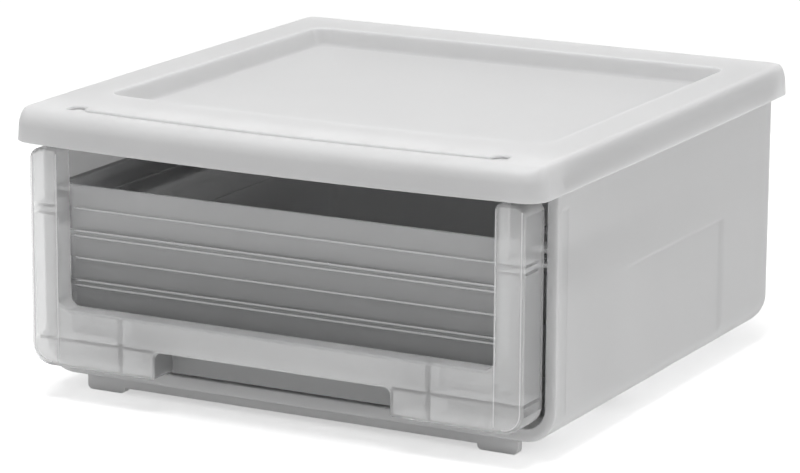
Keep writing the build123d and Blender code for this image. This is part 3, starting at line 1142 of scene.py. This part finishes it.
# ------------------------------------------------------------- the drawer tub
@dataclass
class DrawerTub:
    """The tub: a box with beads and steps round it, and flanges that hang on the rails."""

    half_width: float = 172.0
    front: float = -186.0
    rear: float = 192.0
    radius: float = 11.0
    bottom: float = 45.0
    bottom_inset: float = 9.0
    bottom_edge: float = 2.2
    bottom_root: float = 3.0
    top: float = 150.2
    top_edge: float = 0.8
    wall: float = 2.2
    step: float = 1.0
    bands: int = 2
    top_rib: float = 134.0
    pitch: float = 17.5
    bead: float = 3.7
    bead_edge: float = 0.45
    flange_reach: float = 13.0
    flange_top: float = 135.2
    flange_depth: float = 2.5
    flange_front: float = 2.0
    flange_root: float = 1.0
    lug_start: float = 37.8
    lug_end: float = 28.0
    lug_inner: float = 6.0
    lug_sink: float = 0.5
    lug_rise: float = 4.0
    pad_inner: float = 90.0
    pad_outer: float = 110.0
    pad_low: float = 65.0
    pad_high: float = 35.0
    pad_root: float = 3.0
    pad_reach: float = 2.2
    lip: float = 0.5
    lip_height: float = 1.4

    def shell(self, material: bpy.types.Material) -> bpy.types.Object:
        """Loft the tub's walls and floor.

        Args:
            material: Its material.

        Returns:
            The tub without its flanges.
        """
        plan = Outline(self.half_width, self.front, self.rear, self.radius)
        lower, upper = self.top_rib - 2 * self.pitch, self.top_rib
        step, half, edge, thick = self.step, self.bead / 2, self.bead_edge, self.wall
        profile: list[Corner] = [
            (self.bottom_inset, self.bottom, 0), (2 * step, self.bottom, self.bottom_edge)
        ]
        for level, inset in ((lower - self.pitch, 2 * step), (upper - self.pitch, step)):
            profile += [
                (inset, level - half, edge),
                (inset - step, level - half, edge),
                (inset - step, level + half, edge),
                (inset, level + half, edge),
                (inset, level + self.pitch, edge),
                (inset - step, level + self.pitch, edge),
            ]
        profile += [
            (0, self.top, self.top_edge),
            (thick, self.top, self.top_edge),
            (thick, upper, edge),
            (thick + step, upper, edge),
            (thick + step, lower, edge),
            (thick + 2 * step, lower, edge),
            (thick + 2 * step, self.bottom + thick, self.bottom_root),
            (self.bottom_inset, self.bottom + thick, 0),
        ]
        mesh = bmesh.new()
        loft(mesh, [plan.ring(inset, level) for inset, level in rounded(profile)])
        return smooth(make_object(mesh, "tub_shell", material))

    def lips(self, tree: bpy.types.NodeTree, material: bpy.types.Material) -> bpy.types.Object:
        """Set the thin lips that edge the beads and steps of the front wall, darker than the tub
        as painted shade lines.

        Args:
            tree: The nodes of repeat_tree.
            material: Their material.

        Returns:
            All lips as one piece.
        """
        half, deep, high = self.half_width - self.radius, self.lip, self.lip_height * self.lip
        shape = bmesh.new()
        add_block(shape, (-half, -deep, -high), (half, deep, high), deep / 2)
        blank = make_object(shape, "lip_blank", material)
        mesh = bmesh.new()
        bead, edge = self.top_rib - self.pitch, self.bead / 2
        for level in (self.top_rib, bead + edge, bead - edge):
            start, step = (0, self.front, level), (0, self.step, -2 * self.pitch)
            row = repeated(tree, blank, self.bands, start, step, material)
            mesh.from_mesh(row)
            bpy.data.meshes.remove(row)
        bpy.data.objects.remove(blank)
        return make_object(mesh, "tub_lips", material)

    def fittings(self, material: bpy.types.Material) -> bpy.types.Object:
        """Build the side flanges, their lugs and the rear pads.

        Args:
            material: Their material.

        Returns:
            All of them as one piece.
        """
        half, rear, high = self.half_width, self.rear, self.flange_top
        reach = half + self.flange_reach
        blocks = [
            ((half - self.flange_root, self.front + self.flange_front, high - self.flange_depth),
             (reach, rear, high)),
            ((half + self.lug_inner, rear - self.lug_start, high - self.lug_sink),
             (reach, rear - self.lug_end, high + self.lug_rise)),
            ((self.pad_inner, rear - self.pad_root, self.top - self.pad_low),
             (self.pad_outer, rear + self.pad_reach, self.top - self.pad_high)),
        ]
        mesh = bmesh.new()
        for side in (-1, 1):
            for start, end in blocks:
                left, right = sorted((side * start[0], side * end[0]))
                add_block(mesh, (left, *start[1:]), (right, *end[1:]))
        return smooth(make_object(mesh, "tub_flanges", material))

    def build(self, tree: bpy.types.NodeTree) -> None:
        """Build and dress the tub.

        Args:
            tree: The nodes of repeat_tree.
        """
        material = TUB_FROST.material()
        settle(self.shell(material), Body.DRAWER, Slot.TUB, "drawer_tub")
        settle(self.fittings(material), Body.DRAWER, Slot.TUB)
        # the lips carry painted shade lines
        settle(self.lips(tree, LIP_PAINTED_SHADE.material()), Body.DRAWER, Slot.TUB)


# ----------------------------------------------------------- the drawer front
@dataclass
class DrawerFront:
    """The clear front: a hollow U-shaped moulding with a window, a notch and inner ribs."""

    node: str = "drawer_front"
    merge: float = 0.02
    flat: float = 0.6
    front: float = -201.0
    half_width: float = 188.0
    side_depth: float = 0.3
    bottom: float = 24.5
    top: float = 176.5
    low_radius: float = 15.0
    window_half: float = 166.0
    pocket_half: float = 92.5
    pocket_front: float = -198.0
    pocket_top: float = 64.0
    # the strips of painted highlight along the window's uprights and the outer corners
    edge_inset: float = 2.8
    edge_width: float = 0.9
    edge_depth: float = 0.25
    edge_rise: float = 0.02
    upright_low: float = 4.0
    upright_high: float = 3.0
    corner_high: float = 3.5
    corner_run: float = 1.0

    def moulding(self, frame: dict, material: bpy.types.Material) -> bpy.types.Object:
        """Merge the CAD shape's loose triangles, round its shading and give its faces finishes,
        with painted shade on the pocket and on the side returns.

        Args:
            frame: The loaded frame, with its nodes.
            material: The finish of most of its faces.

        Returns:
            The front without its bright lines.
        """
        mesh = bmesh.new()
        mesh.from_mesh(frame["nodes"][self.node].data)
        bmesh.ops.remove_doubles(mesh, verts=mesh.verts, dist=self.merge * MM)
        bmesh.ops.dissolve_limit(
            mesh, angle_limit=math.radians(self.flat), verts=mesh.verts, edges=mesh.edges
        )
        piece = smooth(make_object(mesh, "front_moulding", material))
        # darker colours painted as shade on the pocket behind the notch and on the side returns
        for finish in (FRONT_POCKET_SHADE, FRONT_SIDE_SHADE):
            piece.data.materials.append(finish.material())
        for face in piece.data.polygons:
            face.material_index = self.finish_at(face.center)
        return piece

    def finish_at(self, centre: Vector) -> FrontFace:
        """Choose the finish of a face: painted shade on the pocket and on the side returns, clear
        elsewhere.

        Args:
            centre: The face's middle in metres.

        Returns:
            The finish.
        """
        x, y, z = centre / MM
        # painted shade in the pocket behind the notch
        if abs(x) < self.pocket_half and y > self.pocket_front and z < self.pocket_top:
            return FrontFace.POCKET
        # a darker colour painted as shade on the side returns
        if abs(x) > self.half_width - self.side_depth:
            return FrontFace.SIDE
        return FrontFace.CLEAR

    def strip(self, mesh: BMesh, path: Sequence[Point]) -> None:
        """Add a flat strip of painted highlight that follows a line on the front face.

        Args:
            mesh: The mesh that takes it.
            path: The line's points across and up.
        """
        near, far = self.front - self.edge_rise, self.front + self.edge_depth
        rings = []
        for number, (x, z) in enumerate(path):
            before = Vector(path[max(number - 1, 0)])
            after = Vector(path[min(number + 1, len(path) - 1)])
            along = (after - before).normalized() * self.edge_width / 2
            low, high = (x + along.y, z - along.x), (x - along.y, z + along.x)
            section = ((low, near), (high, near), (high, far), (low, far))
            rings.append([Vector((spot[0], y, spot[1])) * MM for spot, y in section])
        loft(mesh, rings)

    def edges(self, material: bpy.types.Material) -> bpy.types.Object:
        """Build the painted highlight lines along the window's uprights and the outer corners.

        Args:
            material: Their material.

        Returns:
            All lines as one piece.
        """
        mesh = bmesh.new()
        out, low = self.half_width - self.edge_inset, self.bottom + self.edge_inset
        radius = self.low_radius - self.edge_inset
        for side in (-1, 1):
            upright = side * (self.window_half + self.edge_width / 2)
            self.strip(mesh, [
                (upright, self.bottom + self.upright_low), (upright, self.top - self.upright_high)
            ])
            self.strip(mesh, rounded([
                (side * out, self.top - self.corner_high, 0),
                (side * out, low, radius),
                (side * (out - radius - self.corner_run), low, 0),
            ], steps=10))
        return make_object(mesh, "front_edges", material)

    def build(self, frame: dict) -> None:
        """Build and dress the drawer front.

        Args:
            frame: The loaded frame, with its nodes.
        """
        material = FRONT_CLEAR.material()
        settle(self.moulding(frame, material), Body.DRAWER, Slot.FRONT, self.node)
        # bright strips painted as highlights along the edges
        settle(self.edges(PAINTED_EDGE_HIGHLIGHT.material()), Body.DRAWER, Slot.FRONT)


# ----------------------------------------------------------------- the studio
@dataclass
class Studio:
    """A white floor, soft light from above and the camera of the photograph."""

    fill: float = 0.35
    aim: Place = (0, 0, 0.1)
    key_power: float = 29.5
    key_size: float = 1.3
    key_at: Place = (0.02, -0.44, 2.1)
    side_power: float = 4.0
    side_size: float = 0.8
    side_at: Place = (1.7, 0.5, 0.75)
    floor_half: float = 12.0
    floor_grey: float = 0.9
    floor_roughness: float = 0.9
    floor_glow: float = 0.5
    floor_drop: float = 0.3
    camera_at: Place = (1.2, -2.2882, 0.7144)
    yaw: float = 27.84
    pitch: float = 13.51
    roll: float = 0.34
    lens: float = 169.02
    sensor: float = 36.0

    def camera(self) -> None:
        """Set up the camera."""
        yaw, pitch, roll = (math.radians(turn) for turn in (self.yaw, self.pitch, self.roll))
        look = Vector((
            -math.sin(yaw) * math.cos(pitch), math.cos(yaw) * math.cos(pitch), -math.sin(pitch)
        ))
        level = Vector((math.cos(yaw), math.sin(yaw), 0))
        up = level.cross(look)
        right = level * math.cos(roll) + up * math.sin(roll)
        up = up * math.cos(roll) - level * math.sin(roll)
        lens = bpy.data.cameras.new("camera")
        lens.lens = self.lens
        lens.sensor_width = self.sensor
        camera = bpy.data.objects.new("camera", lens)
        camera.matrix_world = Matrix.Translation(self.camera_at) @ Matrix(
            (right, up, -look)
        ).transposed().to_4x4()
        bpy.context.scene.collection.objects.link(camera)
        bpy.context.scene.camera = camera

    def seen(self, tree: bpy.types.NodeTree) -> bpy.types.NodeSocket:
        """Tell the rays that look from the rays that light.

        Args:
            tree: The nodes that ask.

        Returns:
            A socket that is 1 for camera, glossy and transmission rays.
        """
        path = tree.nodes.new("ShaderNodeLightPath")
        total = path.outputs["Is Camera Ray"]
        for name in ("Is Glossy Ray", "Is Transmission Ray"):
            most = tree.nodes.new("ShaderNodeMath")
            most.operation = "MAXIMUM"
            tree.links.new(total, most.inputs[0])
            tree.links.new(path.outputs[name], most.inputs[1])
            total = most.outputs[0]
        return total

    def world(self) -> None:
        """Light the scene evenly, and show white to the rays that look."""
        world = bpy.data.worlds.new("studio")
        bpy.context.scene.world = world
        world.use_nodes = True
        tree = world.node_tree
        back = tree.nodes["Background"]
        back.inputs["Color"].default_value = (1, 1, 1, 1)
        strength = tree.nodes.new("ShaderNodeMapRange")
        strength.inputs["To Min"].default_value = self.fill
        strength.inputs["To Max"].default_value = 1.0
        tree.links.new(self.seen(tree), strength.inputs["Value"])
        tree.links.new(strength.outputs["Result"], back.inputs["Strength"])

    def floor(self) -> None:
        """Lay the floor, which keeps the object's shadow."""
        mesh = bmesh.new()
        bmesh.ops.create_grid(mesh, x_segments=4, y_segments=4, size=self.floor_half)
        data = bpy.data.meshes.new("floor")
        mesh.to_mesh(data)
        mesh.free()
        floor = bpy.data.objects.new("floor", data)
        floor.location.z = -self.floor_drop * MM
        bpy.context.scene.collection.objects.link(floor)
        material = bpy.data.materials.new("floor_white")
        material.use_nodes = True
        tree = material.node_tree
        shader = tree.nodes["Principled BSDF"]
        shader.inputs["Base Color"].default_value = (*[self.floor_grey] * 3, 1)
        shader.inputs["Roughness"].default_value = self.floor_roughness
        shader.inputs["Specular IOR Level"].default_value = 0.0
        shader.inputs["Emission Color"].default_value = (1, 1, 1, 1)
        glow = tree.nodes.new("ShaderNodeMath")
        glow.operation = "MULTIPLY"
        glow.inputs[1].default_value = self.floor_glow
        tree.links.new(self.seen(tree), glow.inputs[0])
        tree.links.new(glow.outputs[0], shader.inputs["Emission Strength"])
        data.materials.append(material)

    def lamp(self, name: str, at: Place, size: float, power: float) -> None:
        """Hang a soft square lamp that faces the object.

        Args:
            name: Its name.
            at: Where it hangs, in metres.
            size: The length of its sides.
            power: Its power in watts.
        """
        light = bpy.data.lights.new(name, "AREA")
        light.size = size
        light.energy = power
        lamp = bpy.data.objects.new(name, light)
        lamp.location = at
        way = Vector(self.aim) - Vector(at)
        lamp.rotation_euler = way.to_track_quat("-Z", "Y").to_euler()
        bpy.context.scene.collection.objects.link(lamp)

    def build(self) -> None:
        """Set up the camera, the floor and the light."""
        self.camera()
        self.world()
        self.floor()
        self.lamp("key", self.key_at, self.key_size, self.key_power)
        self.lamp("side", self.side_at, self.side_size, self.side_power)
        bpy.context.scene.view_settings.view_transform = "Standard"


def main() -> None:
    """Build the scene in order."""
    logging.basicConfig(level=logging.INFO, format="%(name)s %(message)s")
    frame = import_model()
    Studio().build()
    tree = repeat_tree()
    TopCover().build(tree)
    Casing().build(frame)
    DrawerTub().build(tree)
    DrawerFront().build(frame)


if __name__ == "__main__":
    main()
